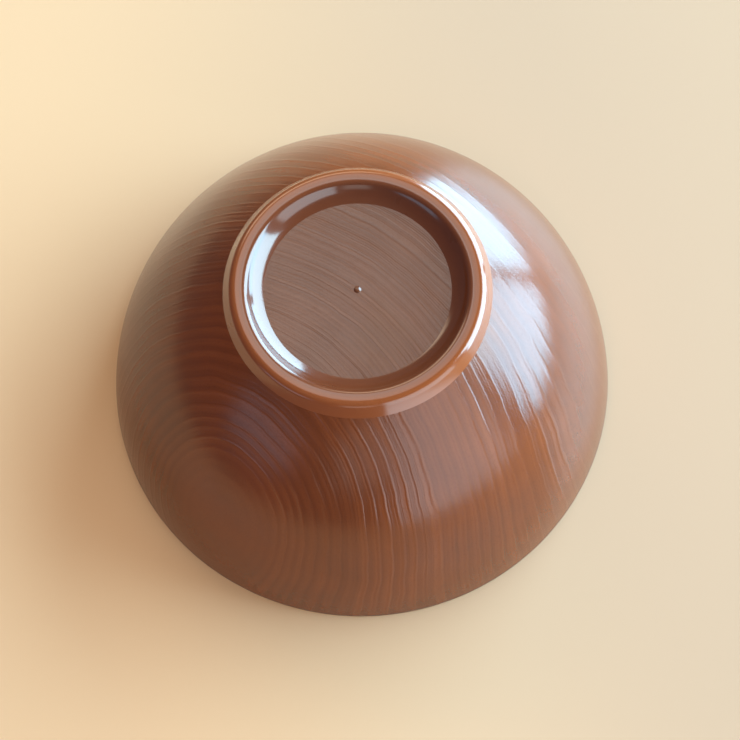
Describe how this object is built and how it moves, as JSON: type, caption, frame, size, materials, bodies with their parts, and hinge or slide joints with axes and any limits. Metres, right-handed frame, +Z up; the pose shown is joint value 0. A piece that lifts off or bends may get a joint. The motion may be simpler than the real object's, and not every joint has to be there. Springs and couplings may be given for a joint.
{
  "type": "soup bowl",
  "caption": "Round resin soup bowl with a brown wood-grain coat, a smooth low foot ring and a sunk panel inside it, stored turned over on its rim.",
  "frame": {"origin": "centre of the rim's plane, which the bowl stands on as pictured, turned over", "axes": "+Z up along the bowl's axis, from the rim to the foot, so turn the part 180 degrees about X to stand it on its foot for use; +X to the right in the picture, +Y away from its camera"},
  "size_m": [0.1198, 0.1198, 0.058],
  "materials": {
    "resin": "dark brown moulded resin, seen only as the bare lip at the rim",
    "foot": "smooth reddish brown coat, gloss",
    "grain_coat": "reddish brown satin gloss coat over wood-grain relief",
    "panel_coat": "brown satin gloss coat over wood-grain relief",
    "food_coat": "smooth reddish brown coat, gloss"
  },
  "bodies": {
    "root": {"bowl_shell": "resin", "foot_ring": "foot", "outer_coat": "grain_coat", "base_coat": "panel_coat", "inner_coat": "food_coat"}
  },
  "joints": []
}
